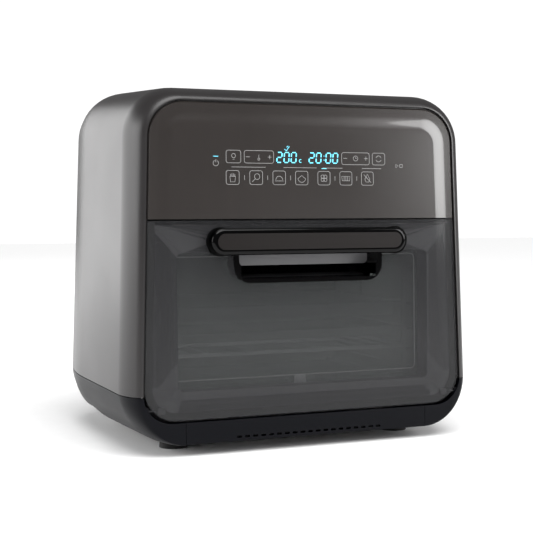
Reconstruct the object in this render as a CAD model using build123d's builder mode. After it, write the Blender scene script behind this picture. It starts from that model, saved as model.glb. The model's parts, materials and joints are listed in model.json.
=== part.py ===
"""Countertop toaster oven with a drop-down door: every piece is its own solid, in millimetres.

+X is the oven's right, +Y its back and +Z up. The origin is on the table under the middle of the oven.
All four walls lean inwards going up by the same draft, so the pieces of the front are drawn on a leaning
plane, FRONT, and placed by their depth behind it. The cavity and what is in it stand upright.
"""

import os
from math import atan, degrees

from build123d import *

# ---- driving dimensions -------------------------------------------------------------------------
LEAN = 0.03                 # draft of every wall, millimetres in for each millimetre up
HALF_WIDTH = 190.2          # half the width of the body at table level
FRONT_Y = -138.96           # front plane at table level
BODY_DEPTH = 280.0          # front plane to rear plane at table level
WALL = 2.5                  # moulded walls
GAP = 1.5                   # visible gap around the door and the control panel

BASE_LOW = 12.0             # lower edge of the front band
BASE_SEAM = 59.4            # joint between the housing and the base
DOOR_LOW = 33.9             # middle of the gap under the door
MID_SEAM = 226.0            # middle of the gap between the door and the control panel
PANEL_HIGH = 339.1          # middle of the gap over the control panel
SEAM_INSET = 17.0           # middle of the side gaps, in from the side walls
SEAM_LOW_RADIUS = 33.0
SEAM_HIGH_RADIUS = 36.0
TOP_FRONT = 353.0           # top of the housing where the front bevel ends
TOP_REAR = 359.0            # top of the housing where the rear taper starts
BEVEL_DEPTH = 29.0          # the rounded front edge runs back this far
BEZEL_DEPTHS = (4.0, 11.0)  # sections between that make the edge full
BEZEL_POWER = 1.6           # fullness of the edge, 1 being a flat bevel
TAPER_START = 190.0         # the rear taper starts this far back
REAR_INSET = 14.0           # taper of each side at the rear plane
REAR_RISE = 10.0            # taper of the top and of the underside at the rear plane
REAR_RADIUS = 44.0
BODY_LOW = 10.0             # underside of the base
LOW_RADIUS = 56.0           # body corners behind the front edge
HIGH_RADIUS = 49.0
REAR_LOW_RADIUS = 46.0      # body corners towards the rear
REAR_HIGH_RADIUS = 44.0

FRONT_LIP = 1.4             # the moulded front edge stands this far outside the middle of the gap
FRONT_LOW_RADIUS = 44.0     # corners of the moulded front edge
FRONT_HIGH_RADIUS = 37.0
OPENING_LOW_RADIUS = 29.0   # the door's lower corners swing past this edge

LENS = 4.0                  # thickness of the smoked front panels
LENS_BEVEL = 1.3            # bevelled front edge, which clears the opening as the door swings
RIM = 8.3                   # flat rim around the raised part of the front panels
RISE = 2.0                  # height of the raised part
RISE_RUN = 14.0             # width of its sloping edge
DOOR_THICKNESS = 30.0
FRAME_INSET = 4.0           # door frame, in from the edge of the smoked panel
HINGE_Z = 46.0
HINGE_DEPTH = 3.5
HINGE_PIN_RADIUS = 1.25
PIN_INNER = 152.0           # the stub pins run from here out to the bosses in the base
BOSS_INNER = 166.4
BOSS_OUTER = 170.0
RUNNING = 0.05              # radial clearance of a running fit

GLASS_DEPTH = 24.5          # front of the inner glass
GLASS = 4.0
WINDOW_HALF = 136.0
WINDOW_LOW = 62.0
WINDOW_HIGH = 194.6

HANDLE_Z = 204.8
HANDLE_HALF = 105.2
HANDLE_HEIGHT = 26.0
HANDLE_FRONT = 10.0         # front of the handle bar, in front of the front plane
HANDLE_BACK = 3.0
CUP_HALF = 80.0
CUP_LOW = 164.6
CUP_HIGH = 214.0
CUP_WALL = 4.0
CUP_DEPTH = 22.0

FRAME_DEPTH = 34.0          # front frame behind the door
CAVITY_HALF = 143.0
CAVITY_LOW = 52.0
CAVITY_HIGH = 205.0
CAVITY_REAR = FRONT_Y + 238.0
SHEET = 1.2                 # liner sheet
FAN_Y = FRONT_Y + 138.0
SHROUD_HIGH = 243.0
RAIL_HEIGHTS = (68.0, 88.0, 110.0, 136.0, 176.0)
SPIT_Y = FRONT_Y + 118.0
SPIT_Z = 124.0
LAMP_Y = CAVITY_REAR - 28
LAMP_Z = CAVITY_HIGH - 31

FRONT = Plane(origin=(0, FRONT_Y, 0), x_dir=(1, 0, 0), z_dir=(0, -1, LEAN))
REAR = Plane(origin=(0, FRONT_Y + BODY_DEPTH, 0), x_dir=(-1, 0, 0), z_dir=(0, 1, LEAN))

os.makedirs("parts", exist_ok=True)


# ---- helpers ------------------------------------------------------------------------------------
def at_depth(depth):
    """Plane parallel to the leaning front, this far behind it, looking out of the oven."""
    return FRONT.offset(-depth)


def at_y(y):
    """Upright plane across the oven, looking out of the front."""
    return Plane.XZ.offset(-y)


def save(name, part):
    """Label a finished piece and write it."""
    part.label = name
    export_step(part, f"parts/{name}.step")


def face_outline(plane, low, high, inset, low_radius, high_radius):
    """Rounded outline that follows the drafted side walls, set in from them by inset."""
    wide = HALF_WIDTH - LEAN * low - inset
    narrow = HALF_WIDTH - LEAN * high - inset
    with BuildSketch(plane) as outline:
        Polygon((-wide, low), (wide, low), (narrow, high), (-narrow, high), align=None)
        fillet(outline.vertices().group_by(Axis.Y)[0], low_radius)
        fillet(outline.vertices().group_by(Axis.Y)[-1], high_radius)
    return outline.sketch


def block(x, y, z, mode=Mode.ADD):
    """Upright box between pairs of X, Y and Z values."""
    with Locations(((x[0] + x[1]) / 2, (y[0] + y[1]) / 2, (z[0] + z[1]) / 2)):
        Box(x[1] - x[0], y[1] - y[0], z[1] - z[0], mode=mode)


def front_block(x, z, depth, mode=Mode.ADD, radius=0):
    """Box parallel to the leaning front, between pairs of X, height and depth values."""
    with BuildSketch(at_depth(depth[1])) as outline:
        with Locations(((x[0] + x[1]) / 2, (z[0] + z[1]) / 2)):
            if radius:
                RectangleRounded(x[1] - x[0], z[1] - z[0], radius)
            else:
                Rectangle(x[1] - x[0], z[1] - z[0])
    extrude(outline.sketch, amount=depth[1] - depth[0], mode=mode)


def cylinder_along_x(x, y, z, radius, mode=Mode.ADD):
    """Cylinder along X between a pair of X values."""
    with BuildSketch(Plane.YZ.offset(x[0])) as outline:
        with Locations((y, z)):
            Circle(radius)
    extrude(outline.sketch, amount=x[1] - x[0], mode=mode)


def cylinder_up(x, y, z, radius, mode=Mode.ADD):
    """Upright cylinder between a pair of Z values."""
    with BuildSketch(Plane.XY.offset(z[0])) as outline:
        with Locations((x, y)):
            Circle(radius)
    extrude(outline.sketch, amount=z[1] - z[0], mode=mode)


def front_y(z, depth=0.0):
    """Y of a point at this height and depth behind the leaning front."""
    return FRONT_Y + LEAN * z + depth


def body_form(wall, rear_radius):
    """Solid of the whole body, made smaller on every side by wall."""
    front_inset = SEAM_INSET - FRONT_LIP + 0.6 * wall
    low, high = BODY_LOW + wall, TOP_REAR - wall
    corners = (LOW_RADIUS - wall, HIGH_RADIUS - wall)
    dip = LEAN * BEVEL_DEPTH
    front_low, front_high = BASE_LOW + wall, PANEL_HIGH + FRONT_LIP - wall
    front_corners = (FRONT_LOW_RADIUS, FRONT_HIGH_RADIUS)
    rear_corners = (REAR_LOW_RADIUS - wall, REAR_HIGH_RADIUS - wall)
    full_edge = (low + dip, TOP_FRONT - wall + dip, wall, *corners)
    thin_edge = (front_low, front_high, front_inset, *front_corners)
    sections = [face_outline(at_depth(wall), *thin_edge)]
    for depth in BEZEL_DEPTHS:
        left_in = 1 - (1 - (1 - depth / BEVEL_DEPTH) ** BEZEL_POWER) ** (1 / BEZEL_POWER)
        between = [full + (thin - full) * left_in for full, thin in zip(full_edge, thin_edge)]
        sections.append(face_outline(at_depth(depth + wall), *between))
    sections += [
        face_outline(at_depth(BEVEL_DEPTH + wall), *full_edge),
        face_outline(at_y(FRONT_Y + TAPER_START), low, high, wall, *rear_corners),
        face_outline(REAR.offset(-wall), low + REAR_RISE, high - REAR_RISE, REAR_INSET + wall, *rear_corners),
    ]
    with BuildPart() as form:
        loft(sections, ruled=True)
        rear_face = form.faces().sort_by(Axis.Y)[-1]
        fillet(rear_face.edges(), rear_radius)
    return form.part


def front_opening(clearance, back):
    """Solid that fills the opening for the door and the control panel, from the front back to a depth."""
    edge = GAP / 2 - clearance
    corners = (OPENING_LOW_RADIUS, SEAM_HIGH_RADIUS)
    outline = face_outline(at_depth(back), DOOR_LOW - edge, PANEL_HIGH + edge, SEAM_INSET - edge, *corners)
    with BuildPart() as opening:
        extrude(outline, amount=back + 10)
    return opening.part


def lens_blank():
    """Whole smoked front with its raised middle, before it is cut into door and control panel."""
    low, high = DOOR_LOW + GAP / 2, PANEL_HIGH - GAP / 2
    inset = SEAM_INSET + GAP / 2
    foot, crown = inset + RIM, inset + RIM + RISE_RUN
    with BuildPart() as blank:
        extrude(
            face_outline(at_depth(LENS), low, high, inset, SEAM_LOW_RADIUS - 1, SEAM_HIGH_RADIUS - 1), amount=LENS
        )
        plate_faces = blank.faces().sort_by(SortBy.AREA)[-2:]
        chamfer(plate_faces.sort_by(Axis.Y)[0].edges(), LENS_BEVEL)
        loft(
            [
                face_outline(at_depth(0), low + RIM, high - RIM, foot, SEAM_LOW_RADIUS - 9, SEAM_HIGH_RADIUS - 9),
                face_outline(at_depth(-RISE), low + RIM + RISE_RUN, high - RIM - RISE_RUN, crown, 14, 14),
            ],
            ruled=True,
        )
    return blank.part


def stadium(plane, x, z, length, height):
    """Bar outline with round ends, centred on a point of the plane."""
    with BuildSketch(plane) as outline:
        with Locations((x, z)):
            SlotOverall(length, height)
    return outline.sketch


HINGE_Y = front_y(HINGE_Z, HINGE_DEPTH)

# ---- body shells --------------------------------------------------------------------------------
with BuildPart() as body_shell:
    add(body_form(0, REAR_RADIUS))
    add(body_form(WALL, REAR_RADIUS - WALL), mode=Mode.SUBTRACT)
    add(front_opening(0, 12), mode=Mode.SUBTRACT)
    with BuildSketch(REAR.offset(-20)) as rear_opening:
        with Locations((0, 183)):
            RectangleRounded(256, 266, 20)
    extrude(rear_opening.sketch, amount=40, mode=Mode.SUBTRACT)

with BuildPart() as housing_shell:
    add(body_shell.part)
    split(bisect_by=Plane.XY.offset(BASE_SEAM + 0.4), keep=Keep.TOP)
save("housing_shell", housing_shell.part)

TRIM_HALF = 130.3
UNDERSIDE_HALF = 100.0
FOOT_X = 124.0
FOOT_RADIUS = 14.0
FOOT_PLACES = [(x, FRONT_Y + y) for x in (-FOOT_X, FOOT_X) for y in (58, 216)]

with BuildPart() as base_shell:
    add(body_shell.part)
    split(bisect_by=Plane.XY.offset(BASE_SEAM - 0.4), keep=Keep.BOTTOM)
    front_block((-TRIM_HALF, TRIM_HALF), (8, 40), (-3, 13), Mode.SUBTRACT)
    block((-UNDERSIDE_HALF, UNDERSIDE_HALF), (FRONT_Y + 30, FRONT_Y + 250), (5, 20), Mode.SUBTRACT)
    for side in (-1, 1):
        with BuildSketch(Plane.YZ.offset(side * 165)) as notch:
            with Locations((FRONT_Y + 182, 10)):
                RectangleRounded(60, 36, 12)
        extrude(notch.sketch, amount=30, both=True, mode=Mode.SUBTRACT)
    for x, y in FOOT_PLACES:
        cylinder_up(x, y, (5, 20), 2.2, Mode.SUBTRACT)
    for side in (-1, 1):
        front_block(sorted((side * BOSS_INNER, side * BOSS_OUTER)), (HINGE_Z - 4, HINGE_Z + 4), (1.2, 8))
        bore = sorted((side * (BOSS_INNER - 1), side * (BOSS_OUTER - 0.6)))
        cylinder_along_x(bore, HINGE_Y, HINGE_Z, HINGE_PIN_RADIUS + RUNNING, Mode.SUBTRACT)
save("base_shell", base_shell.part)

TRIM_SLOTS = 19
with BuildPart() as front_lower_trim:
    edge = 0.4
    front_block((edge - TRIM_HALF, TRIM_HALF - edge), (BASE_LOW, DOOR_LOW - GAP / 2), (0, WALL))
    front_block((edge - TRIM_HALF, TRIM_HALF - edge), (BASE_LOW, BASE_LOW + WALL), (WALL, 12.6))
    with BuildSketch(at_depth(WALL + 1)) as slots:
        with Locations((0, 16.2)):
            with GridLocations(8.4, 0, TRIM_SLOTS, 1):
                SlotOverall(5.4, 2.2)
    extrude(slots.sketch, amount=WALL + 2, mode=Mode.SUBTRACT)
save("front_lower_trim", front_lower_trim.part)

PAN_LOW = 12.6
with BuildPart() as bottom_pan:
    block((-133, 133), (FRONT_Y + 32, FRONT_Y + 188), (PAN_LOW, PAN_LOW + 2))
    block((-97, 97), (FRONT_Y + 188, FRONT_Y + 246), (PAN_LOW, PAN_LOW + 2))
    for side in (-1, 1):
        skirt = sorted((side * 131, side * 133))
        block(skirt, (FRONT_Y + 140, FRONT_Y + 188), (PAN_LOW + 2, 36))
        block(skirt, (FRONT_Y + 188, FRONT_Y + 226), (22, 36))
    with Locations((0, FRONT_Y + 140, PAN_LOW + 1)):
        with GridLocations(24, 34, 7, 4):
            Box(14, 22, 4, mode=Mode.SUBTRACT)
    for x, y in FOOT_PLACES:
        cylinder_up(x, y, (PAN_LOW - 1, PAN_LOW + 3), 2.2, Mode.SUBTRACT)
save("bottom_pan", bottom_pan.part)

with BuildPart() as rubber_feet:
    for x, y in FOOT_PLACES:
        with BuildSketch(Plane.XY.offset(0)) as pad:
            with Locations((x, y)):
                Circle(FOOT_RADIUS)
        extrude(pad.sketch, amount=BODY_LOW - 0.2, taper=4)
        cylinder_up(x, y, (BODY_LOW - 1, PAN_LOW + 4), 2.0)
save("rubber_feet", rubber_feet.part)

with BuildPart() as rear_cover:
    with BuildSketch(REAR.offset(0.1)) as plate:
        with Locations((0, 183)):
            RectangleRounded(268, 278, 24)
    extrude(plate.sketch, amount=2.4)
    with BuildSketch(REAR.offset(-1)) as louvres:
        for column in (-66, 66):
            with Locations((column, 250)):
                with GridLocations(0, 9, 1, 9):
                    SlotOverall(90, 4)
        with Locations((0, 78)):
            with GridLocations(0, 9, 1, 4):
                SlotOverall(160, 4)
        with Locations((-96, 78)):
            Circle(6.2)
    extrude(louvres.sketch, amount=6, mode=Mode.SUBTRACT)
save("rear_cover", rear_cover.part)

with BuildPart() as cord_gland:
    gland_plane = Plane(REAR.from_local_coords(Vector(-96, 78, 0)), x_dir=(-1, 0, 0), z_dir=REAR.z_dir)
    with BuildSketch(gland_plane.offset(-8)) as gland_body:
        Circle(6.0)
    extrude(gland_body.sketch, amount=8)
    with BuildSketch(gland_plane.offset(-8)) as inner_flange:
        Circle(9.0)
    extrude(inner_flange.sketch, amount=4)
    with BuildSketch(gland_plane.offset(-10)) as cord_hole:
        Circle(3.6)
    extrude(cord_hole.sketch, amount=20, mode=Mode.SUBTRACT)
save("cord_gland", cord_gland.part)

# ---- control panel ------------------------------------------------------------------------------
SPLIT_LOW = MID_SEAM - GAP / 2
SPLIT_HIGH = MID_SEAM + GAP / 2

with BuildPart() as control_panel_lens:
    add(lens_blank())
    front_block((-200, 200), (0, SPLIT_HIGH), (-20, 20), Mode.SUBTRACT)
save("control_panel_lens", control_panel_lens.part)

DISPLAY_Z = 286.2
ICON_Z = 266.5
with BuildPart() as control_panel_frame:
    carrier_low, carrier_high = SPLIT_HIGH + 1, PANEL_HIGH - 3
    extrude(face_outline(at_depth(12), carrier_low, carrier_high, SEAM_INSET + 3, 3, 32), amount=12 - LENS)
    front_block((-108, 108), (ICON_Z - 16, DISPLAY_Z + 18), (0, 20), Mode.SUBTRACT)
    for x in (-138, 138):
        for z in (244, 318):
            with BuildSketch(at_depth(FRAME_DEPTH)) as post:
                with Locations((x, z)):
                    Circle(4)
            extrude(post.sketch, amount=FRAME_DEPTH - 11)
save("control_panel_frame", control_panel_frame.part)

with BuildPart() as display_module:
    front_block((-38, 40), (DISPLAY_Z - 10, DISPLAY_Z + 10), (LENS + 0.3, 10), radius=1.5)
save("display_module", display_module.part)

with BuildPart() as control_board:
    front_block((-106, 106), (ICON_Z - 14, DISPLAY_Z + 16), (10, 11.6), radius=2)
    for x in (-97, -62, -38, -14, 10, 34, 58, 82, 99):
        with BuildSketch(at_depth(10)) as spring:
            with Locations((x, ICON_Z)):
                Circle(3.5)
        extrude(spring.sketch, amount=10 - LENS - 0.3)
    front_block((-30, 30), (ICON_Z - 8, ICON_Z + 12), (11.6, 15))
    front_block((60, 84), (ICON_Z - 6, ICON_Z + 6), (11.6, 19))
save("control_board", control_board.part)

# ---- door ---------------------------------------------------------------------------------------
FRAME_LOW = DOOR_LOW + GAP / 2 + FRAME_INSET
FRAME_HIGH = SPLIT_LOW - FRAME_INSET

with BuildPart() as door_outer_lens:
    add(lens_blank())
    front_block((-200, 200), (SPLIT_LOW, 400), (-20, 20), Mode.SUBTRACT)
    front_block((-CUP_HALF + 2, CUP_HALF - 2), (CUP_LOW + 2, CUP_HIGH - 2), (-10, 10), Mode.SUBTRACT, radius=15)
    for side in (-1, 1):
        with BuildSketch(at_depth(10)) as screw_way:
            with Locations((side * 94, HANDLE_Z)):
                Circle(3.2)
        extrude(screw_way.sketch, amount=20, mode=Mode.SUBTRACT)
        lug_way = sorted((side * (PIN_INNER - 2.2), side * 175))
        front_block(lug_way, (HINGE_Z - 3.3, HINGE_Z + 3.3), (1.7, 6), Mode.SUBTRACT)
save("door_outer_lens", door_outer_lens.part)

CLIP_PLACES = [(x, pair) for x in (-100, 0, 100) for pair in ((47, 63), (198, 214))]

with BuildPart() as door_frame:
    frame_inset = SEAM_INSET + GAP / 2 + FRAME_INSET
    extrude(
        face_outline(at_depth(DOOR_THICKNESS), FRAME_LOW, FRAME_HIGH, frame_inset, SEAM_LOW_RADIUS - 5, 2),
        amount=DOOR_THICKNESS - LENS,
    )
    front_block((-WINDOW_HALF, WINDOW_HALF), (WINDOW_LOW, WINDOW_HIGH), (0, 40), Mode.SUBTRACT, radius=6)
    front_block((-150.4, 150.4), (55.6, 205.4), (GLASS_DEPTH, 40), Mode.SUBTRACT, radius=6.4)
    front_block((-CUP_HALF + 1, CUP_HALF - 1), (CUP_LOW, CUP_HIGH - 1), (0, CUP_DEPTH + 1), Mode.SUBTRACT)
    for x, pair in CLIP_PLACES:
        front_block(
            (x - 6.2, x + 6.2), (pair[0] - 0.2, pair[1] + 0.2), (GLASS_DEPTH + GLASS - 0.1, 40), Mode.SUBTRACT
        )
    front_block((-6.7, 6.7), (56.8, WINDOW_LOW + 1), (GLASS_DEPTH - 1.5, 40), Mode.SUBTRACT)
    for side in (-1, 1):
        lug = sorted((side * (PIN_INNER - 2), side * 157))
        front_block(lug, (HINGE_Z - 3, HINGE_Z + 3), (1.9, LENS))
        bore = sorted((side * (PIN_INNER - 0.1), side * 175))
        cylinder_along_x(bore, HINGE_Y, HINGE_Z, HINGE_PIN_RADIUS + 0.01, Mode.SUBTRACT)
        with BuildSketch(at_depth(40)) as screw_way:
            with Locations((side * 94, HANDLE_Z)):
                Circle(2.2)
        extrude(screw_way.sketch, amount=45, mode=Mode.SUBTRACT)
        with BuildSketch(at_depth(40)) as screw_well:
            with Locations((side * 94, HANDLE_Z)):
                Circle(4.2)
        extrude(screw_well.sketch, amount=28, mode=Mode.SUBTRACT)
        front_block(
            (side * 120 - 9.1, side * 120 + 9.1), (210.9, 219.1), (DOOR_THICKNESS - 4.1, 40), Mode.SUBTRACT
        )
save("door_frame", door_frame.part)

with BuildPart() as door_inner_glass:
    front_block((-150, 150), (56, 205), (GLASS_DEPTH + 0.1, GLASS_DEPTH + GLASS), radius=6)
save("door_inner_glass", door_inner_glass.part)

with BuildPart() as glass_clips:
    for x, pair in CLIP_PLACES:
        front_block((x - 6, x + 6), pair, (GLASS_DEPTH + GLASS, DOOR_THICKNESS - 0.2))
    front_block((-6.5, 6.5), (57, WINDOW_LOW + 8), (GLASS_DEPTH - 1.3, GLASS_DEPTH))
save("glass_clips", glass_clips.part)

with BuildPart() as handle_cup:
    front_block((-CUP_HALF, CUP_HALF), (CUP_LOW, CUP_HIGH), (-HANDLE_BACK, -RISE), radius=17)
    front_block((-CUP_HALF + 2.5, CUP_HALF - 2.5), (CUP_LOW + 2.5, CUP_HIGH - 2.5), (-RISE, CUP_DEPTH), radius=14)
    # the finger pocket: a straight well behind the bar and a scooped floor rising to its back
    well_low = CUP_LOW + 16.4
    with BuildSketch(at_depth(CUP_DEPTH - 1.6)) as well:
        with Locations((0, (well_low + CUP_HIGH - CUP_WALL) / 2)):
            RectangleRounded(2 * (CUP_HALF - CUP_WALL - 1), CUP_HIGH - CUP_WALL - well_low, 5)
    extrude(well.sketch, amount=40, mode=Mode.SUBTRACT)
    with BuildSketch(Plane.YZ) as scoop:
        with BuildLine():
            mouth = (front_y(CUP_LOW + 4, -6), CUP_LOW + 4)
            lip = (front_y(CUP_LOW + 4, 0), CUP_LOW + 4)
            back = (front_y(well_low + 6, CUP_DEPTH - 1.6), well_low + 6)
            hollow = (front_y(CUP_LOW + 8, 13), CUP_LOW + 8)
            Line(mouth, lip)
            ThreePointArc(lip, hollow, back)
            Line(back, (mouth[0], back[1]))
            Line((mouth[0], back[1]), mouth)
        make_face()
    extrude(scoop.sketch, amount=CUP_HALF - CUP_WALL - 3, both=True, mode=Mode.SUBTRACT)
save("handle_cup", handle_cup.part)

with BuildPart() as handle_bar:
    bar = stadium(at_depth(-HANDLE_BACK), 0, HANDLE_Z, 2 * HANDLE_HALF, HANDLE_HEIGHT)
    extrude(bar, amount=HANDLE_FRONT - HANDLE_BACK)
    fillet(handle_bar.faces().sort_by(Axis.Y)[0].edges(), 3.6)
    for side in (-1, 1):
        extrude(
            stadium(at_depth(-RISE), side * 94.2, HANDLE_Z, HANDLE_HEIGHT + 2.4, HANDLE_HEIGHT + 2),
            amount=HANDLE_BACK - RISE + 1,
        )
        with BuildSketch(at_depth(2)) as screw_boss:
            with Locations((side * 94, HANDLE_Z)):
                Circle(3.0)
        extrude(screw_boss.sketch, amount=8)
        with BuildSketch(at_depth(4)) as screw_hole:
            with Locations((side * 94, HANDLE_Z)):
                Circle(1.5)
        extrude(screw_hole.sketch, amount=12, mode=Mode.SUBTRACT)
    extrude(
        stadium(at_depth(0.9 - HANDLE_FRONT), 0, HANDLE_Z, 2 * 99.3, HANDLE_HEIGHT - 10),
        amount=4,
        mode=Mode.SUBTRACT,
    )
save("handle_bar", handle_bar.part)

with BuildPart() as handle_inlay:
    extrude(stadium(at_depth(0.9 - HANDLE_FRONT), 0, HANDLE_Z, 2 * 99.1, HANDLE_HEIGHT - 10.4), amount=1.2)
save("handle_inlay", handle_inlay.part)

with BuildPart() as handle_screws:
    for side in (-1, 1):
        with BuildSketch(at_depth(13.8)) as head:
            with Locations((side * 94, HANDLE_Z)):
                Circle(3.8)
        extrude(head.sketch, amount=1.8)
        with BuildSketch(at_depth(12.5)) as shank:
            with Locations((side * 94, HANDLE_Z)):
                Circle(1.45)
        extrude(shank.sketch, amount=18)
save("handle_screws", handle_screws.part)

with BuildPart() as hinge_pins:
    for side in (-1, 1):
        cylinder_along_x(
            sorted((side * PIN_INNER, side * (BOSS_OUTER - 1))), HINGE_Y, HINGE_Z, HINGE_PIN_RADIUS
        )
save("hinge_pins", hinge_pins.part)

with BuildPart() as door_magnets:
    for side in (-1, 1):
        front_block((side * 120 - 9, side * 120 + 9), (211, 219), (DOOR_THICKNESS - 4, DOOR_THICKNESS + 0.2))
save("door_magnets", door_magnets.part)

# ---- front frame, cavity and what sits in it ----------------------------------------------------
CAVITY_FRONT_DEPTH = FRAME_DEPTH + 1.5

with BuildPart() as front_frame:
    extrude(
        face_outline(at_depth(CAVITY_FRONT_DEPTH), 52, TOP_FRONT - 5, 6, 40, 44),
        amount=CAVITY_FRONT_DEPTH - FRAME_DEPTH,
    )
    front_block(
        (-CAVITY_HALF, CAVITY_HALF), (CAVITY_LOW + 3, CAVITY_HIGH + 1), (0, 60), Mode.SUBTRACT, radius=11
    )
    front_block((-112, 112), (254, 318), (0, 60), Mode.SUBTRACT, radius=8)
save("front_frame", front_frame.part)

with BuildPart() as door_seal:
    seal_depth = (FRAME_DEPTH - 2.6, FRAME_DEPTH)
    front_block((-149, 149), (CAVITY_LOW + 4, CAVITY_HIGH + 8), seal_depth, radius=15)
    front_block((-144.5, 144.5), (CAVITY_LOW + 8.5, CAVITY_HIGH + 3.5), (0, 60), Mode.SUBTRACT, radius=11)
save("door_seal", door_seal.part)

with BuildPart() as strike_plates:
    for side in (-1, 1):
        front_block((side * 120 - 10, side * 120 + 10), (214, 222), (FRAME_DEPTH - 1.2, FRAME_DEPTH))
save("strike_plates", strike_plates.part)

FAN_OPENING = 82.0
COUPLER_RADIUS = 6.0
with BuildPart() as cavity_liner:
    outside = CAVITY_HALF + SHEET
    with BuildSketch(at_y(CAVITY_REAR + SHEET)) as liner_outer:
        with Locations((0, (CAVITY_LOW + CAVITY_HIGH) / 2)):
            RectangleRounded(2 * outside, CAVITY_HIGH - CAVITY_LOW + 2 * SHEET, 10 + SHEET)
    extrude(liner_outer.sketch, amount=CAVITY_REAR + SHEET - FRONT_Y)
    with BuildSketch(at_y(CAVITY_REAR)) as liner_inner:
        with Locations((0, (CAVITY_LOW + CAVITY_HIGH) / 2)):
            RectangleRounded(2 * CAVITY_HALF, CAVITY_HIGH - CAVITY_LOW, 10)
    extrude(liner_inner.sketch, amount=CAVITY_REAR - FRONT_Y + 5, mode=Mode.SUBTRACT)
    front_block((-200, 200), (0, 400), (-40, CAVITY_FRONT_DEPTH), Mode.SUBTRACT)
    cylinder_up(0, FAN_Y, (CAVITY_HIGH - 5, CAVITY_HIGH + 5), FAN_OPENING, Mode.SUBTRACT)
    cylinder_along_x((CAVITY_HALF - 5, CAVITY_HALF + 5), SPIT_Y, SPIT_Z, COUPLER_RADIUS + RUNNING, Mode.SUBTRACT)
    cylinder_along_x((CAVITY_HALF - 5, CAVITY_HALF + 5), LAMP_Y, LAMP_Z, 14, Mode.SUBTRACT)
save("cavity_liner", cavity_liner.part)

GUARD_LOW = CAVITY_HIGH + SHEET
with BuildPart() as fan_guard:
    cylinder_up(0, FAN_Y, (GUARD_LOW, GUARD_LOW + 1), FAN_OPENING + 6)
    with BuildSketch(Plane.XY.offset(GUARD_LOW - 1)) as guard_holes:
        for ring in range(1, 6):
            with Locations((0, FAN_Y)):
                with PolarLocations(14.5 * ring, 6 * ring):
                    Circle(5)
    extrude(guard_holes.sketch, amount=3, mode=Mode.SUBTRACT)
save("fan_guard", fan_guard.part)

HEATER_Z = GUARD_LOW + 7
HEATER_OUTER = 70.0
HEATER_INNER = 53.0
with BuildPart() as heating_element:
    with Locations((0, FAN_Y, HEATER_Z)):
        Torus(HEATER_OUTER, 3.2)
        Torus(HEATER_INNER, 3.2)
    cylinder_along_x((-HEATER_OUTER, -HEATER_INNER), FAN_Y, HEATER_Z, 2.8)
    for x in (HEATER_INNER, HEATER_OUTER):
        cylinder_up(x, FAN_Y, (HEATER_Z, SHROUD_HIGH + 12), 2.8)
save("heating_element", heating_element.part)

with BuildPart() as element_clips:
    with Locations((0, FAN_Y, 0)):
        with PolarLocations((HEATER_OUTER + HEATER_INNER) / 2, 3, start_angle=90):
            with Locations((0, 0, HEATER_Z + 4.7)):
                Box(26, 8, 2)
            with Locations((0, 0, (HEATER_Z + 5.7 + SHROUD_HIGH - SHEET) / 2)):
                Box(2, 8, SHROUD_HIGH - SHEET - HEATER_Z - 5.7)
save("element_clips", element_clips.part)

SHAFT_RADIUS = 3.0
SHROUD_RADIUS = 92.0
with BuildPart() as fan_shroud:
    cylinder_up(0, FAN_Y, (GUARD_LOW + 1, SHROUD_HIGH), SHROUD_RADIUS)
    cylinder_up(0, FAN_Y, (GUARD_LOW, SHROUD_HIGH - SHEET), SHROUD_RADIUS - SHEET, Mode.SUBTRACT)
    cylinder_up(0, FAN_Y, (GUARD_LOW, SHROUD_HIGH + 5), SHAFT_RADIUS + 2, Mode.SUBTRACT)
    for x in (HEATER_INNER, HEATER_OUTER):
        cylinder_up(x, FAN_Y, (SHROUD_HIGH - 5, SHROUD_HIGH + 5), 3.2, Mode.SUBTRACT)
save("fan_shroud", fan_shroud.part)

FAN_LOW = HEATER_Z + 8
with BuildPart() as fan_impeller:
    cylinder_up(0, FAN_Y, (FAN_LOW, FAN_LOW + 1.6), 44)
    cylinder_up(0, FAN_Y, (FAN_LOW - 5, FAN_LOW + 13), 8)
    with Locations((0, FAN_Y, FAN_LOW + 7)):
        with PolarLocations(30, 12):
            Box(26, 1.6, 11)
    cylinder_up(0, FAN_Y, (FAN_LOW - 10, FAN_LOW + 20), SHAFT_RADIUS, Mode.SUBTRACT)
save("fan_impeller", fan_impeller.part)

MOTOR_LOW = SHROUD_HIGH + 8
MOTOR_HIGH = MOTOR_LOW + 34
with BuildPart() as fan_shaft:
    cylinder_up(0, FAN_Y, (FAN_LOW - 8, MOTOR_HIGH + 22), SHAFT_RADIUS)
save("fan_shaft", fan_shaft.part)

with BuildPart() as fan_motor:
    cylinder_up(0, FAN_Y, (MOTOR_LOW, MOTOR_HIGH), 33)
    cylinder_up(0, FAN_Y, (MOTOR_LOW - 1, MOTOR_HIGH + 1), SHAFT_RADIUS + RUNNING, Mode.SUBTRACT)
save("fan_motor", fan_motor.part)

with BuildPart() as motor_bracket:
    block((-45, 45), (FAN_Y - 14, FAN_Y + 14), (MOTOR_LOW - 2, MOTOR_LOW))
    for side in (-1, 1):
        block(sorted((side * 43, side * 45)), (FAN_Y - 14, FAN_Y + 14), (SHROUD_HIGH, MOTOR_LOW - 2))
    cylinder_up(0, FAN_Y, (MOTOR_LOW - 5, MOTOR_LOW + 5), 12, Mode.SUBTRACT)
save("motor_bracket", motor_bracket.part)

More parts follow.
